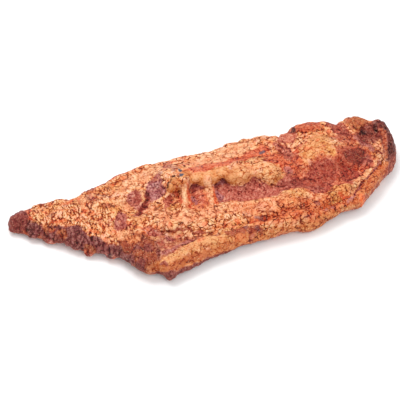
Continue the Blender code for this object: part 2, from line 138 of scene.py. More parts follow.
AREAS = {
    "dark rim of cut rib tips": (dict(lean=1, char=0.42, smoke=0.5, violet=0.75, calm=0.3, knobs=0.9),
        (-212, 16), (-205, 19), (-199, 14), (-192, 7), (-186, 6), (-181, 4), (-174, -1), (-170, -5),
        (-164, -6), (-157, -8), (-151, -16), (-148, -22), (-142, -24), (-137, -28), (-132, -36),
        (-127, -42), (-120, -46), (-114, -55), (-106, -64), (-112, -90), (-240, -30), (-240, 8)),
    "golden top of bulge": (dict(smoke=0.35, amber=0.7, cream=0.3, char=0, violet=0, lean=0),
        (-114, -37), (-105, -40), (-98, -45), (-97, -51), (-104, -53), (-110, -48)),
    "dark knob on back": (dict(lean=1, char=0.4, smoke=0.6, up=1.5),
        (-147, 38), (-142, 47), (-130, 47), (-129, 41), (-138, 37)),
    "pale patch": (dict(cream=0.7, calm=0.5), (-153, 35), (-147, 43), (-143, 30), (-145, 21), (-151, 24)),
    "brown patch": (dict(violet=0.45, smoke=0.5),
        (-141, 32), (-134, 34), (-131, 24), (-137, 20), (-142, 23)),
    "olive patch": (dict(smoke=0.9, amber=0.6), (-128, 12), (-119, 13), (-117, 9), (-124, 6)),
    "lean oval": (dict(lean=1, violet=0.35, smoke=0.25, calm=0.3, up=-0.6),
        (-115, -5), (-110, 1), (-104, -2), (-103, -16), (-106, -25), (-111, -28), (-117, -25), (-119, -17)),
    "first lean hollow": (dict(lean=0.75, violet=0.45, smoke=0, calm=0.5, up=-0.5),
        (-99, 20), (-94, 25), (-87, 29), (-80, 27), (-79, 22), (-83, 13), (-82, 7), (-87, 1), (-92, 0),
        (-98, 14)),
    "second lean hollow": (dict(lean=0.85, violet=0.8, up=-0.5),
        (-72, 33), (-67, 37), (-62, 40), (-56, 37), (-54, 30), (-56, 23), (-54, 16), (-59, 11), (-65, 8),
        (-71, 6), (-73, 12), (-75, 21)),
    # The backs of the pockets: lean meat, darkened with painted shade under the roofs of fat
    "dark back of first pocket": (dict(lean=1, smoke=0.8, char=0.05, violet=0.5, calm=0.5),
        (-27, 10), (-27, 22), (-8, 22), (-9, 12), (-15, 10), (-21, 9)),
    "dark back of second pocket": (dict(lean=1, smoke=0.3, char=0, violet=1, calm=0.5),
        (-1, 5), (0, 22), (22, 22), (21, 12), (15, 7), (7, 5)),
    "lean meat before first rib": (dict(lean=0.9, up=-0.8),
        (-52, 12), (-46, 13), (-48, 3), (-53, -3), (-60, -13), (-61, -4), (-57, 7)),
    "lean meat between ribs": (dict(lean=0.55, violet=0.15, red=0.7, cream=0.7, calm=0.4, up=-0.5),
        (-28, 13), (-23, 13), (-18, 14), (-13, 10), (-11, 0), (-11, -12), (-14, -15), (-23, -17),
        (-27, -10), (-29, 3)),
    "lean band": (dict(lean=0.95, violet=0.2, up=-0.6, calm=0.6),
        (0, 9), (6, 13), (15, 14), (20, 6), (28, 5), (33, 5), (42, 9), (49, 10), (55, 3), (62, -3),
        (68, -3), (75, 2), (83, 9), (89, 6), (94, -1), (102, 0), (110, 0), (121, -4), (120, -24),
        (112, -28), (107, -28), (101, -21), (95, -12), (89, -12), (80, -19), (67, -22), (54, -22),
        (44, -20), (32, -19), (22, -20), (19, -15), (13, -13), (7, -15), (-1, -15), (-2, 0)),
    "coral patch": (dict(lean=0.8, red=0.3, cream=0.2, violet=0.25, smoke=0, calm=0.5, up=-0.3),
        (-92, -33), (-83, -32), (-78, -36), (-71, -42), (-70, -46), (-76, -48), (-83, -46), (-89, -42)),
    "purple spot": (dict(lean=0.9, violet=0.6, up=-0.5),
        (-69, -46), (-65, -45), (-60, -48), (-63, -55), (-69, -54)),
    "lean patch on back": (dict(lean=0.75, red=0.4, calm=0.6, smoke=0.1),
        (90, 66), (100, 80), (114, 80), (118, 68), (109, 55), (101, 60)),
    "diagonal lean meat": (dict(lean=0.75, violet=0.1, red=0.5, up=-0.5),
        (84, 61), (94, 63), (100, 54), (104, 42), (101, 32), (95, 25), (91, 28), (88, 43)),
    "orange patch": (dict(red=1, smoke=0.1, cream=0),
        (66, 58), (76, 60), (79, 49), (77, 32), (70, 27), (66, 46)),
    "back flap": (dict(red=0.9, lean=0.3, amber=0.3, smoke=0.6, calm=0.3, up=0.4),
        (115, 76), (119, 83), (131, 90), (144, 92), (151, 84), (151, 77), (147, 72), (138, 71), (127, 71),
        (118, 72)),
    "lean meat by notch": (dict(lean=0.7, red=0.9, smoke=0.5, up=-0.4),
        (156, 84), (163, 92), (174, 88), (178, 78), (180, 70), (181, 62), (181, 54), (176, 50), (170, 57),
        (163, 64), (160, 70), (157, 76)),
    "golden lump": (dict(amber=0.9, smoke=0.9, calm=0.3, up=1.6),
        (181, 76), (184, 88), (190, 90), (197, 86), (203, 76), (206, 68), (201, 64), (195, 63), (189, 61),
        (184, 61)),
    "corner of broad end": (dict(lean=1, char=0.45, smoke=0.6, red=0.3, up=1),
        (212, 67), (222, 82), (232, 70), (224, 56), (218, 49), (212, 56), (208, 62)),
    "broad lean meat": (dict(lean=0.58, red=1, cream=0, amber=0, violet=0.2, smoke=0.68, up=-0.5, calm=0.3),
        (115, 12), (125, 17), (136, 16), (143, 11), (146, 4), (141, -6), (133, -16), (129, -25), (117, -27),
        (109, -22), (103, -14), (95, -10), (88, -8), (90, -2), (103, 1), (110, 7)),
    "deep lean meat": (dict(lean=0.5, red=1.2, cream=0, amber=0, smoke=1.5, char=0.5, up=-0.6, calm=0.3),
        (155, 19), (160, 24), (167, 26), (176, 28), (184, 24), (183, 12), (178, 5), (172, 4), (165, 6),
        (160, 12)),
    "red patch by deep lean meat": (dict(red=1, lean=0.55, smoke=0.7, amber=0, cream=0, calm=0.3),
        (142, 13), (147, 17), (154, 15), (162, 7), (158, 2), (148, 2), (142, 5)),
    "lower lean meat": (dict(lean=0.5, smoke=1, violet=0.25, red=1, amber=0, cream=0, up=-0.4),
        (148, 8), (157, 7), (164, 2), (168, -8), (163, -16), (157, -14), (152, -22), (147, -14), (145, -1)),
    "orange patch at broad end": (dict(red=1, lean=0.1, amber=0.3),
        (166, 6), (174, 8), (177, 0), (170, -5), (165, -1)),
    "purple patch at broad end": (dict(lean=0.6, violet=0.4, red=0.8),
        (180, 15), (188, 17), (190, 9), (184, 2), (178, 5)),
    "dark curled rim": (dict(lean=1, char=0.82, smoke=1, violet=0.25, red=0.5, calm=0.3, knobs=0.6),
        (220, 80), (218, 58), (214, 44), (211, 34), (207, 22), (204, 14), (205, 5), (222, -5), (245, 10),
        (245, 80)),
    "lower gold": (dict(amber=1, red=0.2, smoke=0.15, lean=0, up=1.2),
        (125, -25), (137, -19), (147, -20), (151, -25), (143, -34), (134, -40), (123, -42), (118, -35)),
    "lower lip": (dict(red=0.5, amber=1, smoke=0.5, calm=0.35, cream=0.15),
        (199, 3), (187, -7), (177, -15), (161, -28), (150, -39), (143, -43), (136, -60), (160, -60),
        (190, -38), (225, -10), (216, 8)),
    "tan end": (dict(amber=0.8, cream=0.3, red=0, calm=0.6),
        (130, -46), (141, -47), (154, -45), (150, -60), (130, -60)),
}

# Lines seen from above: what each paints, its half width and the points that it runs through
LINES = {
    "dark lower border of lean meat": (dict(lean=0.8, red=0.6, smoke=0.8, char=0.1), 2.8,
        (72, -13), (84, -14), (95, -15), (106, -18), (118, -20)),
    "chine stripe": (dict(lean=0.4, red=1.2, cream=0, amber=0, violet=0, smoke=0.2, up=-0.3, calm=0.5), 6.3,
        (-14, 33), (-1, 36), (10, 37), (21, 38), (32, 41), (44, 46), (54, 50), (64, 53), (72, 57)),
    "red edge of back": (dict(lean=0.4, red=0.8, smoke=0.6, cream=0), 3.2,
        (-132, 46), (-110, 56), (-84, 68), (-60, 75), (-25, 79), (5, 80), (40, 84), (75, 86), (100, 86)),
    "purple strip": (dict(lean=0.9, violet=0.5, smoke=0.3), 3,
        (-76, -72), (-66, -69), (-58, -66), (-50, -62), (-42, -60)),
    "first rib": (dict(lean=0, cream=0.9, red=0, amber=0.3, calm=0.4), 4.6,
        (-35, 11), (-35, 4), (-36, -4), (-38, -18)),
    "second rib": (dict(lean=0, cream=0.8, calm=0.4), 4.4, (-7, 10), (-8, 3), (-9, -6), (-10, -16)),
    "red side of first rib": (dict(red=1, lean=0.35, cream=0, calm=0.8, smoke=0.3), 2,
        (-29, 13), (-30, 6), (-30, -2), (-32, -14)),
    "red side of second rib": (dict(red=1, lean=0.1, cream=0, calm=0.6), 1.8, (-1, 8), (-3, -4), (-4, -18)),
    "red streak before first rib": (dict(red=0.9, lean=0.5), 1.6, (-42, 14), (-40, 6), (-41, -5)),
    "pale sliver": (dict(lean=0, cream=0.6, up=0.8), 1.7, (-79, 24), (-80, 16), (-84, 8)),
    "maroon side of first hollow": (dict(lean=1, smoke=0.75, violet=0.1, cream=0), 2.6,
        (-85, 27), (-85, 21), (-86, 14), (-88, 8)),
    "side of groove": (dict(lean=1, red=0.3, smoke=0.3, up=0.3), 3.4,
        (-74, 12), (-79, 7), (-85, 1), (-89, -6), (-92, -12)),
    "groove": (dict(lean=1, char=0.2, smoke=1), 2.2, (-74, 22), (-75, 16), (-79, 9), (-85, 2), (-90, -6)),
    "crack in ridge": (dict(char=1, up=-1.2), 0.8, (-41, 27), (-45, 23), (-49, 20), (-53, 17)),
    "dark line in lean band": (dict(smoke=1, char=0.2, up=-0.5), 1.4,
        (64, -5), (70, -6), (76, -7), (82, -7)),
    "red border of lean band": (dict(red=0.9, lean=0.8), 2,
        (28, -17), (37, -16), (51, -18), (63, -19), (72, -19), (79, -16)),
    "pale rim of shelf": (dict(lean=0, cream=0.6, up=0.5), 2.8,
        (12, -23), (22, -25), (31, -24), (42, -24), (54, -25), (63, -25), (72, -24)),
    "crack in shelf": (dict(char=0.2, smoke=0.8, up=-0.6), 0.9,
        (39, -36), (46, -39), (53, -41), (58, -43), (60, -46), (63, -52)),
    "branch of crack": (dict(char=0.3, smoke=0.8, up=-0.7), 1, (61, -34), (64, -38), (69, -39)),
    "crack in lower fat": (dict(char=0.4, smoke=0.8, up=-0.8), 1.1, (86, -37), (86, -43), (89, -52)),
    # Painted shade under the overhanging fat, over lean meat
    "overhang": (dict(smoke=0.9, lean=0.6, up=-0.5), 1.1,
        (-76, -41), (-70, -43), (-64, -44), (-59, -44), (-55, -43), (-47, -45), (-42, -46), (-37, -48),
        (-32, -48), (-28, -50), (-19, -54)),
    "pale line under overhang": (dict(cream=0.9, lean=0, smoke=0, calm=0.5), 2.2,
        (-66, -47), (-58, -48), (-50, -50), (-42, -51)),
    # Painted shade in the creases round the cheek of fat
    "left crease of cheek": (dict(smoke=0.8, up=-0.6), 1, (-65, -30), (-68, -35), (-70, -42)),
    "right crease of cheek": (dict(smoke=0.8, up=-0.6), 1, (-49, -36), (-49, -44)),
    "crease beside it": (dict(smoke=0.7, up=-0.5), 1, (-42, -38), (-43, -46)),
    # Lean, violet meat in the crease above the rim roll, darkened with painted shade
    "crease above rim roll": (dict(smoke=0.55, violet=0.4, lean=0.6, up=-0.7), 1.7,
        (-82, -78), (-72, -74), (-60, -69), (-50, -64), (-38, -60.5), (-27, -60), (-14, -59)),
    # A painted highlight along the top of the rim roll, over amber fat
    "top of rim roll": (dict(cream=0.4, amber=1, smoke=0.15, lean=0, violet=0, calm=0.7, up=0.8), 4.5,
        (-79, -81), (-65, -77), (-51, -70), (-39, -67), (-26, -66), (-12, -65), (4, -64), (14, -64)),
    # Amber fat on the side of the rim roll, darkened with painted shade
    "amber side of rim roll": (dict(amber=1, red=0.25, smoke=0.75, cream=0, calm=0.6), 4,
        (-88, -84), (-73, -87), (-59, -83), (-43, -79), (-26, -76), (-9, -74), (10, -71)),
    "streak in back flap": (dict(red=0.7, cream=0.5), 1.8, (120, 77), (133, 77), (141, 74)),
    "edge of back flap": (dict(smoke=0.6, red=0.5, up=-0.6), 1.2,
        (115, 72), (127, 70), (138, 69), (147, 70), (153, 74)),
    "dark rim of back flap": (dict(lean=1, char=0.5, smoke=0.6), 1.8,
        (113, 76), (118, 84), (130, 91), (142, 93), (150, 88)),
    "second streak in back flap": (dict(cream=0.8, red=0.2, lean=0, smoke=0), 1.3,
        (122, 82), (132, 84), (143, 84)),
    "edge of notch": (dict(lean=1, char=0.4), 2.2, (156, 86), (163, 91), (171, 86), (177, 88), (183, 90)),
    "first dark torn line": (dict(lean=1, smoke=0.6, up=-0.5), 1.2, (89, 64), (93, 53), (96, 40), (98, 28)),
    "second dark torn line": (dict(lean=0.9, smoke=0.45, up=-0.4), 1, (96, 68), (100, 56), (102, 42)),
    "pale diagonal": (dict(lean=0, cream=0.7, up=0.6), 1.7, (79, 64), (81, 50), (83, 34), (86, 22)),
    "side of fat cushion": (dict(cream=0.2, amber=0.7, smoke=0.2, up=0.8), 2.6,
        (116, 43), (110, 34), (107, 23), (107, 12)),
    # Red meat in the crease beside the fat cushion, darkened with painted shade
    "crease beside fat cushion": (dict(smoke=0.4, red=1, lean=0.35, up=-0.8), 1.7,
        (112, 47), (105, 37), (101, 24), (101, 14)),
    "purple slope from pit": (dict(lean=1, violet=0.4, char=0.2), 4, (183, 46), (189, 34), (194, 26)),
    "dark border of broad lean meat": (dict(smoke=1, char=0.2, up=-0.6), 1.6,
        (90, -2), (99, 0), (108, -1), (114, -6)),
    "orange sinew": (dict(red=0.9, lean=0, up=0.5), 1.3, (159, 1), (156, -6), (154, -12)),
    "amber band": (dict(amber=1, red=0.1, lean=0, violet=0, cream=0, smoke=0.1, calm=0.6), 3.8,
        (138, 53), (141, 41), (142.5, 31), (144.5, 22)),
    "orange side of curl": (dict(red=0.5, amber=0.5, lean=0.4, violet=0, char=0.1, smoke=0.6), 2.4,
        (216, 52), (216, 42), (214, 31), (210, 20), (207, 10)),
    "filled crease inside lip": (dict(up=2.2), 4.5, (129, -29), (146, -22), (157, -20), (168, -17)),
    "filled end of that crease": (dict(up=1.5), 4, (192, -8), (199, -3), (205, 3)),
    # A painted highlight on the raised strip beside the groove, over amber and pale fat
    "pale strip by groove": (dict(cream=0.7, amber=0.6, lean=0, smoke=0, red=0.1, up=0.8), 3,
        (192, 6), (180, -4), (166, -16), (156, -24), (147, -32)),
    "filled groove inside lower lip": (dict(up=1.6), 3.5,
        (200, 12), (195, 6), (186, -4), (178, -12), (168, -20)),
    "groove inside lower lip": (dict(lean=0.8, smoke=0.3, violet=0.6, calm=0.6, up=-0.2), 1.4,
        (198, 6), (195, 3), (183, -8), (174, -15), (158, -28), (147, -38), (141, -43)),
    "streak on lower lip": (dict(lean=0.7, smoke=0.6, red=0.5, up=-0.4), 1.2,
        (204, -6), (192, -17), (180, -27), (168, -36), (160, -41)),
    "raised back of broad half": (dict(up=2.4), 6, (36, 80), (60, 82), (90, 83), (101, 84)),
    "filled dip before back flap": (dict(up=2.8), 4.5, (94, 81), (100, 82), (106, 82)),
    "raised back of thin part": (dict(up=2), 5, (-196, 42), (-180, 44), (-164, 43)),
    "front rim": (dict(amber=1, red=0.3, smoke=0.45, cream=0, lean=0.1, violet=0), 7,
        (-20, -76), (10, -72), (40, -69), (70, -68), (100, -65), (130, -56)),
    "filled crease of rim": (dict(up=2.4), 6,
        (-8, -57), (0, -58), (11, -57), (22, -58), (33, -57), (45, -55), (63, -53), (81, -51), (101, -42),
        (116, -36)),
    "streak above rim": (dict(red=0.5, smoke=1, amber=0.7, cream=0, char=0.25), 3.2,
        (-4, -61), (12, -60), (22, -60), (32, -61)),
    "highlight on lower lip": (dict(cream=0.8, red=0), 1.3, (200, -9), (188, -19), (176, -29), (164, -38)),
}

# Spots seen from above: what each paints and its places, each with X, Y, half length, half width and, if it
# is turned, its turn in degrees
SPOTS = {
    "pale right side of third lobe": (dict(cream=0.5, smoke=0), (43, 14, 7, 7)),
    "amber fat over first rib": (dict(amber=1, smoke=0.35, red=0.3, cream=0, lean=0, violet=0, calm=0.6),
        (-28, 27, 6, 6)),
    "pale fat beside first hollow": (dict(cream=1, lean=0, smoke=0, red=0, violet=0, calm=0.6),
        (-101, 9, 5, 9)),
    "golden edge of bulge": (dict(amber=0.5, cream=0.8, smoke=0, char=0, lean=0, red=0, violet=0, calm=0.5),
        (-113, -34, 9, 7)),
    "pale fat below second hollow": (dict(cream=0.7, lean=0, smoke=0, red=0.1), (-72, -1, 6, 5)),
    "pale fat before first rib": (dict(cream=0.6, lean=0.1, red=0.4, smoke=0), (-45, 3, 3.5, 8)),
    "salmon below first pocket": (dict(cream=0.6, lean=0.2, red=0.5, smoke=0), (-22, -13, 8, 5)),
    "dark end of lean band": (dict(smoke=0.9, lean=0.9, char=0.1, cream=0), (87, -5, 13, 4, -14)),
    "maroon side of notch": (dict(lean=0.9, smoke=0.8, red=0.5, cream=0), (174, 58, 6, 6)),
    # Lean and violet meat on one side of the bulge, darker with painted shade
    "dark side of bulge": (dict(smoke=0.7, lean=0.6, violet=0.3, cream=0), (-77, -57, 4, 9, -20)),
    "tip knob": (dict(lean=1, char=0.22, smoke=1, violet=0.6, calm=0.3, knobs=0.35), (-220, 24, 13, 22)),
    "olive side of tip": (dict(char=0.6), (-206, 14, 7, 6, 20)),
    "amber spot by tip": (dict(amber=0.6, lean=0), (-195, 20, 5, 5)),
    "red spot by tip": (dict(red=1), (-206, 32, 3, 3)),
    "magenta spot by tip": (dict(red=0.8, violet=0.3), (-205, 23, 3, 4)),
    "dark spot on back rim": (dict(lean=1, char=0.35), (-190, 42, 7, 4, -10)),
    "orange in oval": (dict(lean=0.5, red=0.5), (-112, -15, 1.6, 2.6)),
    "coral top of coral patch": (dict(lean=0.4, red=0.6, cream=0.3, violet=0), (-87, -35, 5, 2, -20)),
    "violet behind second hollow": (dict(violet=0.6, lean=0.5), (-59, 37, 7, 4)),
    "violet on back": (dict(violet=0.45, lean=0.35), (-40, 52, 7, 16, 10)),
    "blue-grey spot on ridge": (dict(slate=1), (-32, 27, 3.2, 2.8, 30)),
    "small dark spot": (dict(slate=1, char=0.4), (-33, 34, 1.8, 1.6)),
    "another small dark spot": (dict(char=0.6), (-38, 50, 1.6, 1.6)),
    "blue-grey meat beside first rib": (dict(violet=0.8, lean=0.9, cream=0, red=0), (-26, -1, 2.6, 7)),
    "blue-grey meat beside second rib": (dict(violet=0.9, lean=0.9, red=0), (3, -3, 4, 8)),
    "blue-grey spot in orange": (dict(slate=0.7, violet=0.5), (70, 50, 3, 2.8, 30)),
    "vivid red beside it": (dict(red=1, lean=0.2), (77, 52, 4, 3)),
    "yellow fleck": (dict(cream=1, red=0), (76, 44, 2.2, 2.4)),
    "grey top of lean band": (dict(violet=0.5, lean=0.7), (88, 12, 5, 5)),
    "orange spot under lean band": (dict(red=1, lean=0.2), (84, -18, 3.5, 2.5)),
    "red spot beside cushion": (dict(red=0.9, lean=0.6), (114, 44, 3, 3)),
    "red spots": (dict(red=0.8, lean=0.5), (103, 31, 3, 4), (99, 21, 3, 4)),
    "burnt pit": (dict(char=1, smoke=0.8, up=0.9, lean=1), (198, 56, 4.5, 2.4, -35)),
    "beside burnt pit": (dict(char=0.6, smoke=0.6, lean=1), (203, 52, 2.4, 3.6, 30)),
    "outer burnt pit": (dict(char=1, smoke=0.6, up=0.8, lean=1), (212, 56, 2.6, 5, -20)),
    "burnt tip of back flap": (dict(char=1, lean=1), (116, 77, 3, 4)),
    "darkest deep lean meat": (dict(char=0.5), (165, 14, 5, 5)),
    "red meat by curl": (dict(red=0.9, lean=0.5, smoke=0.5), (182, 3, 6, 5)),
    "blue-black spot 1": (dict(char=0.5, violet=0.8, lean=0.8), (17, -58, 3, 2)),
    "blue-black spot 2": (dict(char=0.5, violet=0.6, lean=0.6), (29, -60, 3, 2.2, 20)),
    "blue-black spot 3": (dict(char=0.5, violet=0.2, lean=0.7), (22, -65, 2.8, 2.2)),
    "smooth orange on lip": (dict(red=0.9, amber=0.8, calm=1, smoke=0, cream=0), (160, -42, 6, 5, -30)),
    "grey spot 1": (dict(violet=0.8, char=0.35), (38, -44, 4, 3.4)),
    "grey spot 2": (dict(violet=0.7, char=0.35), (33, -44, 2.6, 2.4)),
    "orange on rim": (dict(red=0.5, amber=0.9, smoke=0.3, char=0), (12, -66, 13, 3.5, 5)),
    "purple spots in lower fat": (dict(lean=0.8, violet=0.4), (120, -46, 3, 2.4), (111, -50, 2.6, 2.2)),
    "dark spot in lower fat": (dict(lean=0.7, char=0.3), (104, -42, 2.4, 4)),
    "orange wedge": (dict(red=0.9), (136, -35, 5, 3, -30)),
    "cheek of fat": (dict(amber=0.5, up=1.6, calm=0.3), (-59, -37, 9, 7)),
    "purple in bulge 1": (dict(violet=0.8, lean=0.7, amber=0.3), (-101, -58, 5, 4)),
    "purple in bulge 2": (dict(violet=0.5, lean=0.8, amber=0.3), (-90, -61, 5, 5)),
    "purple in bulge 3": (dict(violet=0.7, lean=0.7, char=0.3), (-102, -74, 7, 4, -20)),
    # Burnt lean meat in a crease of the bulge, darkened with painted shade
    "dark crease in bulge": (dict(char=0.5, smoke=0.7, lean=0.8, up=-0.8), (-82, -69, 3, 8, -20)),
    "maroon spot on rim roll": (dict(lean=0.9, char=0.3), (-78, -82, 4, 2.4)),
    "hanging flap": (dict(lean=1, char=0.5, smoke=0.8), (-74, -95, 9, 5)),
    "blue-black meat on left rim 1": (dict(char=0.8, violet=0.8), (-209, 8, 6, 5)),
    "blue-black meat on left rim 2": (dict(char=0.75, violet=0.9), (-157, -34, 8, 5, -35)),
    "blue-black meat on left rim 3": (dict(char=0.7, slate=0.35), (-133, -51, 6, 5)),
    "maroon meat on left rim 1": (dict(lean=0.8, red=0.5, char=0.55, smoke=0.9, violet=0.4),
        (-194, -2, 7, 5, -30)),
    "maroon meat on left rim 2": (dict(lean=0.8, red=0.5, char=0.5, smoke=0.9, violet=0.4),
        (-179, -15, 8, 6, -35)),
    "tan crust on left rim": (dict(lean=0.3, amber=0.9, char=0.15, violet=0.1, smoke=0.8),
        (-188, 3, 9, 3, -35), (-174, -9, 8, 3.5, -40)),
    "browner crust on left rim": (dict(lean=0.3, amber=0.9, char=0.2, violet=0.2, smoke=0.8),
        (-150, -35, 8, 4, -35)),
    "orange under left rim 1": (dict(lean=0.4, amber=0.9, char=0.2, violet=0.1, smoke=0.8),
        (-202, -2, 7, 4, -30)),
    "orange under left rim 2": (dict(lean=0.4, amber=0.9, red=0.5, char=0.2, violet=0.1, smoke=0.8),
        (-216, 9, 7, 4, -30)),
}

# The crease along the foot of the ridge: lean meat, darkened with painted shade under the overhanging fat
FOOT_CREASE_SHADE = dict(lean=0.8, smoke=0.9, char=0.1, violet=0.4, up=-0.3)

# The dark foot of the front rim: what it paints, and how high it reaches at places along X
RIM_FOOT = (dict(lean=1, char=0.45, smoke=0.9, violet=0.5, amber=0, cream=0),
    (-100, 3), (-90, 6), (-84, 11), (-76, 16), (-66, 15), (-55, 13), (-40, 12), (-25, 11), (-10, 10),
    (5, 8), (25, 6), (50, 0))

# The end face below the curled rim: what it paints, and how high it reaches at places along Y
END_FACE = (dict(lean=0.7, char=0.12, smoke=0.75, violet=0.3, red=0.5, amber=0.4, cream=0.2, knobs=0.15),
    (-10, 26), (5, 23), (20, 20), (40, 19), (55, 18), (75, 20))

# How many mm an outlined area takes to fade in
EDGE = 3.0
SOFT_EDGE = 9.0

# What a feature can paint: the masks that the material reads, and two channels that only shape the surface
MASKS = ("lean", "char", "smoke", "red", "amber", "cream", "violet", "slate", "calm")
CHANNELS = (*MASKS, "knobs", "up")

# Where the end face of the broad end begins along X, and how high the resting patches of the underside reach
END_FACE_X = 190.0
RESTING_HEIGHT = 2.5

# How far the edges of features wander, in mm, over long and over short stretches
LONG_WANDER = 2.6
SHORT_WANDER = 1.4

# Rounds of averaging that give the surfaces that small lumps and larger ones stand proud of
NEAR_ROUNDS = 6
FAR_ROUNDS = 30

# Turns the lumps of fat away from the axes of the noise that makes them
TILT = np.array(((0.80, 0.52, 0.30), (-0.58, 0.78, 0.22), (-0.12, -0.35, 0.93)))


def smooth(t):
    """0 below 0, 1 above 1, with an even rise between."""
    t = np.clip(t, 0.0, 1.0)
    return t * t * (3.0 - 2.0 * t)


def turned(x, y, degrees):
    """X and Y on axes that are turned about Z."""
    c, s = math.cos(math.radians(degrees)), math.sin(math.radians(degrees))
    return x * c + y * s, y * c - x * s


def distance_to_line(x, y, line):
    """How far each point is from the nearest stretch of a line."""
    nearest = np.full(np.shape(x), np.inf)
    for (x0, y0), (x1, y1) in zip(line, line[1:]):
        dx, dy = x1 - x0, y1 - y0
        along = np.clip(((x - x0) * dx + (y - y0) * dy) / (dx * dx + dy * dy), 0.0, 1.0)
        nearest = np.minimum(nearest, np.hypot(x - x0 - along * dx, y - y0 - along * dy))
    return nearest


def inside(x, y, outline, edge):
    """1 inside a closed outline and 0 outside it, with a soft edge."""
    ring = [*outline, outline[0]]
    odd = np.zeros(np.shape(x), bool)
    for (x0, y0), (x1, y1) in zip(ring, ring[1:]):
        if y0 != y1:
            crosses = (y0 > y) != (y1 > y)
            odd ^= crosses & (x < x0 + (y - y0) * (x1 - x0) / (y1 - y0))
    outside = np.where(odd, -1.0, 1.0) * distance_to_line(x, y, ring)
    return smooth(0.5 - outside / edge)


def in_oval(x, y, centre_x, centre_y, half_length, half_width, turn=0):
    """1 inside an oval and 0 outside it, with a soft edge."""
    along, across = turned(x - centre_x, y - centre_y, turn)
    return smooth((1.2 - np.hypot(along / half_length, across / half_width)) / 0.4)


def near_lump(points, x, y, z, half_x, half_y, half_z, turn=0):
    """1 in and just round a lump and 0 away from it."""
    away_x, away_y, away_z = (points - np.array((x, y, z))).T
    away = np.stack([*turned(away_x, away_y, turn), away_z], axis=1)
    reach = np.linalg.norm(away / np.array((half_x, half_y, half_z)), axis=1)
    return smooth((1.28 - reach) / 0.16)


def noise_at(points, size, seed):
    """Smooth noise at each point, about -1 to 1, for features of one size or of a size along each axis."""
    places = points / np.asarray(size) + seed
    return np.array([noise.noise(place) for place in places.tolist()])


def drift_at(points, size, seeds):
    """Noise along X, Y and Z at each point, to bend a pattern with."""
    return np.stack([noise_at(points, size, seed) for seed in seeds], axis=1)


def cells_at(points, size, seed):
    """Cells of a given size: how far each point is from its cell's centre and from the next cell's, as shares
    of the size, and a random number from 0 to 1 for its cell."""
    places = points / np.asarray(size) + seed
    first, second, number = [], [], []
    for place in places.tolist():
        distances, centres = noise.voronoi(place)
        first.append(distances[0])
        second.append(distances[1])
        number.append(noise.cell(centres[0] * 91.7) * 0.5 + 0.5)
    return np.array(first), np.array(second), np.array(number)


def linked(name, data):
    made = bpy.data.objects.new(name, data)
    bpy.context.scene.collection.objects.link(made)
    return made


def add_lump(bm, x, y, z, half_x, half_y, half_z, turn=0):
    place = Matrix.Translation(Vector((x, y, z)) * MM) @ Matrix.Rotation(math.radians(turn), 4, "Z")
    size = Matrix.Diagonal(Vector((half_x, half_y, half_z, 1 / MM)) * MM)
    bmesh.ops.create_icosphere(bm, subdivisions=3, radius=1.0, matrix=place @ size)


def make_skin():
    """One closed even mesh round the solid and its lumps."""
    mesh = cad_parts["rib_slab"].data.copy()
    bm = bmesh.new()
    bm.from_mesh(mesh)
    for _, *places in LUMPS.values():
        for place in places:
            add_lump(bm, *place)
    bm.to_mesh(mesh)
    bm.free()
    rough = linked("rough_slab", mesh)
    remesh = rough.modifiers.new("skin", "REMESH")
    remesh.mode = "VOXEL"
    remesh.voxel_size = VOXEL
    even = rough.modifiers.new("even", "SMOOTH")
    even.factor = EVEN_FACTOR
    even.iterations = EVEN_STEPS
    shaped = bpy.data.meshes.new_from_object(rough.evaluated_get(bpy.context.evaluated_depsgraph_get()))
    bpy.data.objects.remove(rough)
    bpy.data.meshes.remove(mesh)
    shaped.name = "smoked_rib_slab"
    return linked("smoked_rib_slab", shaped)


def read_vectors(items, name):
    """One vector for each point of the mesh."""
    vectors = np.zeros(len(items) * 3)
    items.foreach_get(name, vectors)
    return vectors.reshape(-1, 3)


def write_points(mesh, points):
    mesh.vertices.foreach_set("co", (points * MM).ravel())
    mesh.update()


def write_mask(mesh, name, values):
    mask = mesh.attributes.new(name, "FLOAT", "POINT")
    mask.data.foreach_set("value", np.clip(values, 0.0, 1.0).astype(np.float32))


def neighbours(mesh):
    """The two ends of each edge, both ways round, and how many edges meet at each point."""
    pairs = np.zeros(len(mesh.edges) * 2, np.int64)
    mesh.edges.foreach_get("vertices", pairs)
    pairs = pairs.reshape(-1, 2)
    starts = np.concatenate([pairs[:, 0], pairs[:, 1]])
    ends = np.concatenate([pairs[:, 1], pairs[:, 0]])
    return starts, ends, np.bincount(starts, minlength=len(mesh.vertices))


def evened(values, links, rounds):
    """Each point's value, averaged with its neighbours' a number of times."""
    starts, ends, counts = links
    for _ in range(rounds):
        sums = np.stack([np.bincount(starts, column[ends], len(counts)) for column in values.T], axis=1)
        values = 0.5 * values + 0.5 * sums / counts[:, None]
    return values


def paint(channels, shares, mask):
    """Lays one feature over the channels. Heights are added, and other channels go to the feature's share."""
    for name, share in shares.items():
        if name == "up":
            channels[name] += share * mask
        else:
            channels[name] += (share - channels[name]) * mask


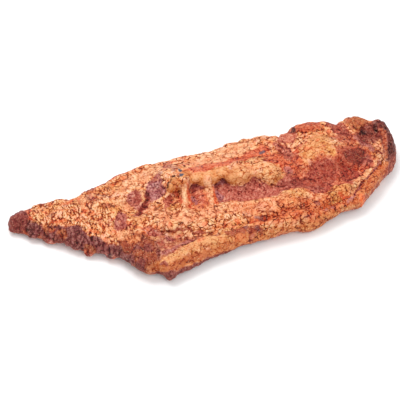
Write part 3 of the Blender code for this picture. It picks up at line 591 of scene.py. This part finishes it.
def paint_features(channels, points, upward):
    """Lays the named features on the upper side and the rim, with uneven edges."""
    x = points[:, 0] + LONG_WANDER * noise_at(points, 8, 11) + SHORT_WANDER * noise_at(points, 3.2, 21)
    y = points[:, 1] + LONG_WANDER * noise_at(points, 8, 31) + SHORT_WANDER * noise_at(points, 3.2, 41)
    z = points[:, 2] + noise_at(points, 5, 45)
    shown = smooth(upward / 0.4 + 1.2)
    for table, edge in ((SOFT_AREAS, SOFT_EDGE), (AREAS, EDGE)):
        for shares, *outline in table.values():
            paint(channels, shares, shown * inside(x, y, outline, edge))
    above = z - np.interp(points[:, 0], *zip(*RIDGE_FOOT))
    over = inside(x, y, RIDGE_OUTLINE, EDGE)
    steep = smooth((0.75 - upward) / 0.3)
    # Painted shade in the steep crease along the foot of the ridge
    paint(channels, FOOT_CREASE_SHADE, over * steep * smooth(1.0 - np.abs(above + 1.2) / 2.2))
    paint(channels, RIDGE, over * smooth(0.5 + above / 1.2))
    for shares, *places in LUMPS.values():
        for place in places:
            paint(channels, shares, near_lump(points, *place))
    for shares, half_width, *line in LINES.values():
        reach = distance_to_line(x, y, line) / half_width
        paint(channels, shares, shown * smooth((1.4 - reach) / 0.8))
    for shares, *places in SPOTS.values():
        for place in places:
            paint(channels, shares, shown * in_oval(x, y, *place))


def reaching(points, across, heights, wander, fade):
    """1 below a height that is given at places along one axis and wanders, and 0 above it."""
    return smooth(0.5 + (np.interp(across, *zip(*heights)) + wander - points[:, 2]) / fade)


def paint_fronts(channels, points, normals):
    """Lays the dark foot on the front of the rim, and lean meat with streaks of fat on the broad end."""
    shares, *heights = RIM_FOOT
    foot = reaching(points, points[:, 0], heights, 2.5 * noise_at(points, 7, 47), 3.5)
    paint(channels, shares, smooth(-normals[:, 1] / 0.4 - 0.2) * foot)
    shares, *heights = END_FACE
    face = reaching(points, points[:, 1], heights, 5.0 * noise_at(points, (9, 9, 14), 49), 8.0)
    outward = normals[:, 0] * smooth((points[:, 0] - END_FACE_X) / 15.0)
    paint(channels, shares, smooth(outward / 0.4 - 0.3) * face)


def first_channels(points, upward):
    """The looks before any named feature: fat above, and darker meat with streaks of fat underneath."""
    channels = {name: np.zeros(len(points)) for name in CHANNELS}
    under = smooth((0.05 - upward) / 0.5)
    patches = noise_at(points, (34, 13, 13), 3) + 0.5 * noise_at(points, (11, 6, 6), 4)
    browned = noise_at(points, (45, 24, 24), 5) + 0.6 * noise_at(points, (12, 8, 8), 6)
    streaks = noise_at(points, (9, 4.5, 6), 7)
    channels["lean"] = np.maximum(under * smooth(0.85 + 1.2 * patches), 0.5 * smooth((streaks - 0.30) / 0.3))
    channels["char"] = 0.8 * under * smooth(0.1 + 0.9 * browned)
    for name, most, start, gain, size, seed in (
        ("amber", 0.75, 0.30, 1.5, 18, 13), ("cream", 0.7, 0.05, 1.6, 8, 17),
        ("red", 0.75, -0.05, 1.7, (8, 6, 6), 19), ("violet", 0.5, -0.3, 1.4, 10, 23),
        ("smoke", 0.4, -0.3, 1.5, (13, 9, 9), 29),
    ):
        channels[name] = most * smooth(start + gain * noise_at(points, size, seed))
    channels["smoke"] = np.maximum(0.4 * under, channels["smoke"])
    channels["calm"] = 0.5 * under
    return channels


def billows(points, size, seed, gain=2.4):
    """Rounded lumps of uneven outline: 0 in the sharp creases between them and about 1 on their tops."""
    return np.minimum(1.0, gain * np.abs(noise_at(points, size, seed))) ** 0.7


def lumpy(points, channels):
    """The height of the lumps of fat in mm, and how deep in a crease between them each point is."""
    warp = drift_at(points, 5, (51, 53, 57)) + 2.0 * drift_at(points, 13, (52, 54, 58))
    places = points + 1.5 * warp
    tilted = places @ TILT
    large = billows(tilted, 14, 3.3)
    small = billows(tilted, 7, 7.7)
    first, second, number = cells_at(places, (7, 6, 6), 2)
    crease = smooth(1.0 - (second - first) / 0.35) * smooth(0.4 + 1.6 * noise_at(points, 10, 61))
    shown = 0.65 + 0.35 * smooth(0.5 + 1.6 * noise_at(points, 15, 62))
    height = 1.7 * (large - 0.6) + 0.5 * (small - 0.6)
    height = height + 0.4 * (0.5 - first) + 0.3 * (number - 0.5) - 0.3 * crease
    depth = np.maximum(crease, np.maximum(1.0 - 1.6 * large, 1.0 - 1.8 * small))
    share = (1.0 - channels["calm"]) * (1.0 - 0.6 * channels["lean"]) * shown * (1.0 - thin_share(points))
    return height * share, np.clip(depth, 0.0, 1.0) * share


def thin_share(points):
    """1 on the thin part of the slab and 0 off it."""
    return smooth((-84.0 - points[:, 0] - 0.15 * points[:, 1]) / 34.0)


def streaked_share(points):
    """1 where the fat below the rib columns is drawn out into streaks."""
    away = np.hypot((points[:, 0] + 18.0) / 36.0, (points[:, 1] + 18.0) / 20.0)
    return smooth((1.2 - away) / 0.5)


def wrinkled(points, channels):
    """Fine folds across the thin part of the slab, in mm."""
    bent = points + 1.6 * drift_at(points, 7, (65, 66, 67))
    folds = billows(bent, (4.6, 13, 9), 71.3, gain=2.2)
    finer = billows(bent, (3, 7, 5), 73.6, gain=2.2)
    share = thin_share(points) * (1.0 - 0.6 * channels["calm"])
    depth = np.maximum(1.0 - 1.7 * folds, 1.0 - 1.8 * finer)
    return share * (0.7 * (folds - 0.6) + 0.3 * (finer - 0.6)), np.clip(depth, 0.0, 1.0) * share


def fibrous(points):
    """Strands of lean meat that run across the slab, in mm."""
    x, y, z = points.T
    bent = np.stack([x + 0.45 * y, y, z], axis=1)
    return 0.45 * noise_at(bent, (2.4, 9, 6), 81) + 0.45 * noise_at(bent, (4.6, 12, 8), 83)


def knobby(points):
    """Knobs and upright ribs of dried meat, in mm."""
    ribs = np.abs(noise_at(points, (7.5, 14, 22), 101.4))
    knobs = np.abs(noise_at(points, (5, 5, 7), 103.2))
    return 5.0 * (ribs - 0.2) + 3.2 * (knobs - 0.2)


def model_surface(mesh):
    """Raises the relief of the skin and writes what its material reads."""
    points = read_vectors(mesh.vertices, "co") / MM
    normals = read_vectors(mesh.vertex_normals, "vector")
    links = neighbours(mesh)
    channels = first_channels(points, normals[:, 2])
    paint_features(channels, points, normals[:, 2])
    paint_fronts(channels, points, normals)
    lumps, crease = lumpy(points, channels)
    folds, fold_crease = wrinkled(points, channels)
    lean = channels["lean"]
    push = channels["up"] + lumps + folds + lean * fibrous(points) + channels["knobs"] * knobby(points)
    push += 0.9 * noise_at(points, 14, 91) + 0.25 * noise_at(points, 3, 93)
    resting = smooth((RESTING_HEIGHT - points[:, 2]) / 2.0) * smooth(-normals[:, 2])
    push *= 1.0 - resting
    shaped = points + normals * push[:, None]
    shaped[:, 2] = np.maximum(shaped[:, 2], 0.0)
    write_points(mesh, shaped)
    normals = read_vectors(mesh.vertex_normals, "vector")
    proud = np.sum((shaped - evened(shaped, links, NEAR_ROUNDS)) * normals, axis=1)
    broad = np.sum((shaped - evened(shaped, links, FAR_ROUNDS)) * normals, axis=1)
    for name in MASKS:
        write_mask(mesh, name, channels[name])
    write_mask(mesh, "thin", np.maximum(thin_share(points), 0.8 * streaked_share(points)))
    # The crease and proud masks let the material darken creases and hollows and lighten what stands proud:
    # painted shade and painted highlight
    write_mask(mesh, "crease", np.maximum(crease, fold_crease))
    write_mask(mesh, "proud", 0.5 + 1.1 * np.clip(proud, -0.5, 0.25) + 0.2 * np.clip(broad, -1.2, 0.2))


def from_screen(colour):
    """The linear numbers that a shader takes, for a colour from 0 to 255 as the screen shows it lit."""
    shares = [part / 255.0 for part in colour]
    linear = [part / 12.92 if part <= 0.04045 else ((part + 0.055) / 1.055) ** 2.4 for part in shares]
    return (*(max(0.0, part - SHINE) / LIGHT for part in linear), 1.0)


class Nodes:
    """Adds nodes to one material. Each method returns what the new node gives."""

    def __init__(self, name):
        self.material = bpy.data.materials.new(name)
        self.material.use_nodes = True
        self.tree = self.material.node_tree
        self.shader = self.tree.nodes["Principled BSDF"]
        self.place = self.add("TexCoord", {}).outputs["Object"]

    def add(self, kind, inputs, **settings):
        made = self.tree.nodes.new("ShaderNode" + kind)
        for name, value in settings.items():
            setattr(made, name, value)
        for name, value in inputs.items():
            self.feed(made.inputs[name], value)
        return made

    def feed(self, socket, value):
        if isinstance(value, bpy.types.NodeSocket):
            self.tree.links.new(value, socket)
        else:
            socket.default_value = value

    def mask(self, name):
        return self.add("Attribute", {}, attribute_name=name).outputs["Fac"]

    def mapped(self, size, turn=0.0, shift=0.0):
        """Coordinates in which one unit is the given size in mm along each axis, turned about Z."""
        about_z = self.add("Mapping", {"Vector": self.place, "Rotation": (0, 0, math.radians(turn))})
        scale = tuple(1.0 / (side * MM) for side in size)
        inputs = {"Vector": about_z.outputs[0], "Scale": scale, "Location": (shift, shift, shift)}
        return self.add("Mapping", inputs).outputs[0]

    def noise(self, size, turn=0.0, shift=0.0, detail=2.0, rough=0.55, distortion=0.0):
        return self.add("TexNoise", {
            "Vector": self.mapped(size, turn, shift), "Scale": 1.0, "Detail": detail, "Roughness": rough,
            "Distortion": distortion,
        }).outputs[0]

    def cells(self, size, shift, width):
        """Uneven cells of a given size: 1 on the thin lines between them, and two random numbers for each."""
        place = self.mapped(size, shift=shift)
        warp = self.add("TexNoise", {"Vector": place, "Scale": 0.75, "Detail": 2.0})
        moved = self.add("VectorMath", {0: warp.outputs["Color"], "Scale": 0.9}, operation="SCALE")
        bent = self.add("VectorMath", {0: place, 1: moved.outputs[0]}, operation="ADD").outputs[0]
        edges = self.add("TexVoronoi", {"Vector": bent, "Scale": 1.0}, feature="DISTANCE_TO_EDGE")
        nearest = self.add("TexVoronoi", {"Vector": bent, "Scale": 1.0})
        numbers = self.add("SeparateColor", {0: nearest.outputs["Color"]}).outputs
        return self.span(edges.outputs["Distance"], 0.0, width, 1.0, 0.0), numbers[0], numbers[1]

    def math(self, operation, a, b):
        return self.add("Math", {0: a, 1: b}, operation=operation).outputs[0]

    def times(self, a, b):
        return self.math("MULTIPLY", a, b)

    def rest(self, value, share):
        """What is left of 1 when a share of a value is taken off."""
        return self.math("SUBTRACT", 1.0, self.times(value, share))

    def span(self, value, low, high, low_out=0.0, high_out=1.0):
        """Where a value lies between low and high, as a number from low_out to high_out."""
        return self.add("MapRange", {
            "Value": value, "From Min": low, "From Max": high, "To Min": low_out, "To Max": high_out,
        }).outputs[0]

    def blend(self, first, second, share):
        """One value where the share is 0 and another where it is 1."""
        return self.add("Mix", {0: share, 2: first, 3: second}, data_type="FLOAT").outputs[0]

    def sum(self, *terms):
        """The sum of values that are each given with the share that they count for."""
        total = 0.0
        for value, share in terms:
            total = self.math("ADD", self.times(value, share), total)
        return total

    def ramp(self, value, stops, as_seen=True):
        """A colour for each value, from stops with colours as the screen shows them, or else with factors."""
        made = self.add("ValToRGB", {"Fac": value})
        elements = made.color_ramp.elements
        while len(elements) < len(stops):
            elements.new(1.0)
        for element, (position, colour) in zip(elements, stops):
            element.position = position
            element.color = from_screen(colour) if as_seen else (*colour, 1.0)
        return made.outputs[0]

    def mix(self, under, over, share, blend="MIX"):
        made = self.add("Mix", {0: share, 6: under, 7: over}, data_type="RGBA", blend_type=blend)
        return made.outputs[2]


def fat_colour(nodes, tone):
    return nodes.ramp(tone, (
        (0.00, (116, 30, 16)), (0.16, (176, 64, 36)), (0.34, (215, 98, 44)), (0.52, (243, 140, 78)),
        (0.72, (263, 180, 122)), (1.00, (282, 226, 184)),
    ))


def lean_colour(nodes, tone):
    return nodes.ramp(tone, (
        (0.00, (78, 12, 8)), (0.20, (134, 40, 30)), (0.40, (184, 76, 60)), (0.60, (216, 110, 90)),
        (0.80, (240, 144, 118)), (1.00, (260, 190, 158)),
    ))


def char_colour(nodes, tone):
    return nodes.ramp(tone, (
        (0.00, (28, 6, 6)), (0.30, (68, 18, 17)), (0.60, (106, 43, 38)), (1.00, (172, 118, 110)),
    ))


def tinted_fat(nodes, tone, *colours):
    """Fat of another hue, from its darkest colour to its lightest."""
    return nodes.ramp(tone, tuple(zip((0.05, 0.35, 0.60, 0.95), colours)))


def lump_hue(nodes, number):
    """What the colour of a small lump is multiplied by: orange, salmon, plain, yellow or khaki."""
    return nodes.ramp(number, (
        (0.00, (1.08, 0.62, 0.46)), (0.18, (1.02, 0.78, 0.66)), (0.32, (1.02, 0.74, 0.98)),
        (0.46, (1.0, 1.0, 1.0)), (0.66, (1.02, 1.08, 1.10)), (0.82, (1.05, 1.24, 1.24)),
        (1.00, (0.88, 1.12, 0.96)),
    ), as_seen=False)


def smoked_pork():
    nodes = Nodes("smoked_pork")
    crease, proud = nodes.mask("crease"), nodes.mask("proud")
    lean_share, calm, thin = nodes.mask("lean"), nodes.mask("calm"), nodes.mask("thin")
    broad = nodes.noise((14, 11, 11), shift=3.0)
    middle = nodes.noise((5, 4, 4), shift=5.0, detail=3.0)
    small = nodes.noise((1.6, 1.5, 1.5), shift=7.0, detail=1.0, rough=0.7)
    strands = nodes.noise((1.3, 6.0, 3.0), turn=24.0, shift=9.0, detail=1.0, rough=0.6, distortion=0.6)
    ragged = nodes.sum((middle, 0.5), (small, 0.5))

    # Thin dark lines between small lumps, drawn out across the slab on its thin part
    lump_lines, lump_tints, lump_hues = nodes.cells((7.0, 6.0, 6.0), shift=11.0, width=0.12)
    fold_lines, fold_tints, fold_hues = nodes.cells((3.6, 8.5, 6.0), shift=13.0, width=0.18)
    fine_lines, fine_tints, fine_hues = nodes.cells((4.4, 3.8, 3.8), shift=17.0, width=0.19)
    lines = nodes.blend(lump_lines, nodes.times(fold_lines, 1.05), thin)
    tints = nodes.blend(lump_tints, fold_tints, thin)
    hues = nodes.blend(lump_hues, fold_hues, thin)
    shown = nodes.span(nodes.noise((6, 6, 6), shift=19.0), 0.42, 0.60, 0.10, 1.0)
    lines = nodes.times(lines, shown)
    fine_shown = nodes.span(nodes.noise((4, 4, 4), shift=23.0), 0.44, 0.62, 0.0, 1.0)
    fine_lines = nodes.times(fine_lines, fine_shown)
    dark_lines = nodes.times(nodes.sum((lines, 1.0), (fine_lines, 0.7)), nodes.rest(calm, 0.75))

    fine = nodes.sum((small, 1.8), (1.0, -0.9))
    # The fat is lighter where the surface stands proud and darker in creases: painted highlight and painted
    # shade
    tone = nodes.sum(
        (fine, 0.60), (broad, 0.40), (middle, 0.20), (tints, 0.06), (fine_tints, 0.06), (proud, 0.48),
        (crease, -0.14), (dark_lines, -0.90), (calm, -0.10), (1.0, 0.30),
    )
    colour = fat_colour(nodes, tone)
    amber = tinted_fat(nodes, tone, (116, 42, 16), (188, 92, 40), (233, 139, 68), (263, 186, 102))
    cream = tinted_fat(nodes, tone, (190, 96, 62), (242, 148, 102), (263, 178, 130), (280, 218, 172))
    red = tinted_fat(nodes, tone, (146, 30, 18), (214, 62, 32), (250, 98, 52), (270, 140, 86))
    # The lean meat is lighter where the surface stands proud and darker in creases: painted highlight and
    # painted shade
    lean_tone = nodes.sum(
        (strands, 0.80), (fine, 0.48), (middle, 0.30), (fine_tints, 0.06), (proud, 0.50), (crease, -0.12),
        (lines, -0.22), (fine_lines, -0.36), (1.0, -0.10),
    )
    lean = lean_colour(nodes, lean_tone)
    violet = nodes.ramp(lean_tone, ((0.1, (84, 36, 52)), (0.5, (160, 100, 112)), (0.9, (220, 170, 178))))
    char = char_colour(nodes, nodes.sum((lean_tone, 1.0), (middle, 0.3), (1.0, -0.25)))

    def torn(mask, width):
        """A mask with a ragged edge."""
        value = nodes.sum((mask, 1.0), (ragged, 0.8), (1.0, -0.4))
        return nodes.span(value, 0.5 - width, 0.5 + width)

    for name, over, width, most in (
        ("amber", amber, 0.45, 0.75), ("cream", cream, 0.40, 0.75), ("red", red, 0.40, 0.85),
        ("lean", lean, 0.35, 0.95), ("violet", violet, 0.45, 0.60),
    ):
        colour = nodes.mix(colour, over, nodes.times(torn(nodes.mask(name), width), most))
    hue_share = nodes.sum((lean_share, -0.08), (calm, -0.15), (1.0, 0.28))
    colour = nodes.mix(colour, lump_hue(nodes, fine_hues), hue_share, "MULTIPLY")
    colour = nodes.mix(colour, lump_hue(nodes, hues), nodes.times(hue_share, 0.6), "MULTIPLY")
    # Darkens towards red-brown: the smoked crust, and painted shade in the pockets, creases and under the
    # overhangs
    smoke = nodes.times(torn(nodes.mask("smoke"), 0.50), 0.85)
    colour = nodes.mix(colour, (0.50, 0.18, 0.15, 1.0), smoke, "MULTIPLY")
    flecks = nodes.noise((1.7, 1.3, 1.4), turn=30.0, shift=21.0, detail=1.0)
    colour = nodes.mix(colour, from_screen((150, 56, 32)), nodes.span(flecks, 0.63, 0.69, 0.0, 0.55))
    colour = nodes.mix(colour, char, torn(nodes.mask("char"), 0.45))
    colour = nodes.mix(colour, from_screen((104, 98, 110)), torn(nodes.mask("slate"), 0.40))
    # Tiny painted glints of pale peach on the fat, fainter on lean meat
    painted_glints = nodes.noise((1.6, 1.4, 1.4), shift=27.0, detail=1.0)
    bright = nodes.times(nodes.span(painted_glints, 0.62, 0.72, 0.0, 0.5), nodes.rest(lean_share, 0.5))
    colour = nodes.mix(colour, from_screen((276, 222, 168)), bright)
    nodes.feed(nodes.shader.inputs["Base Color"], colour)

    wet = nodes.sum((middle, 0.6), (small, 0.4), (proud, -0.2))
    nodes.feed(nodes.shader.inputs["Roughness"], nodes.span(wet, 0.2, 0.6, 0.40, 0.65))
    nodes.shader.inputs["Specular IOR Level"].default_value = 0.25
    height = nodes.sum(
        (small, 0.55), (middle, 0.5), (strands, nodes.times(lean_share, 0.5)), (tints, 0.25),
        (dark_lines, -0.8), (flecks, -0.2),
    )
    bump = nodes.add("Bump", {"Height": height, "Strength": 1.0, "Distance": 1.3 * MM})
    nodes.feed(nodes.shader.inputs["Normal"], bump.outputs[0])
    return nodes.material


def pale_floor():
    nodes = Nodes("pale_floor")
    nodes.shader.inputs["Base Color"].default_value = (0.94, 0.94, 0.94, 1)
    nodes.shader.inputs["Roughness"].default_value = 0.9
    return nodes.material


def make_floor():
    bpy.ops.mesh.primitive_plane_add(size=6.0)
    floor = bpy.context.object
    floor.name = "floor"
    floor.data.materials.append(pale_floor())


def make_camera():
    elevation, azimuth, distance = math.radians(45), math.radians(-14.5), 1.062
    target = Vector((-0.0165, 0.0075, 0.012))
    back = Vector((
        math.sin(azimuth) * math.cos(elevation),
        -math.cos(azimuth) * math.cos(elevation),
        math.sin(elevation),
    ))
    data = bpy.data.cameras.new("camera")
    data.sensor_width = 36.0
    data.lens = 85.0
    camera = linked("camera", data)
    camera.location = target + back * distance
    camera.rotation_euler = back.to_track_quat("Z", "Y").to_euler()
    bpy.context.scene.camera = camera


def area_light(name, place, size, power):
    data = bpy.data.lights.new(name, "AREA")
    data.shape = "DISK"
    data.size = size
    data.energy = power
    light = linked(name, data)
    light.location = place
    light.rotation_euler = Vector(place).to_track_quat("Z", "Y").to_euler()


def make_lights():
    world = bpy.data.worlds.new("studio")
    world.use_nodes = True
    background = world.node_tree.nodes["Background"]
    background.inputs["Color"].default_value = (1.0, 1.0, 1.0, 1)
    background.inputs["Strength"].default_value = 0.80
    bpy.context.scene.world = world
    area_light("key", (-0.25, 0.58, 1.15), size=0.9, power=10.0)
    area_light("fill", (0.25, -0.90, 0.90), size=1.0, power=4.8)
    bpy.context.scene.view_settings.view_transform = "Standard"


def make_ribs():
    body = make_skin()
    model_surface(body.data)
    body.data.materials.clear()
    body.data.materials.append(smoked_pork())
    body.data.shade_smooth()
    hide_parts("rib_slab")
    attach(body, "root")


make_ribs()
make_floor()
make_camera()
make_lights()
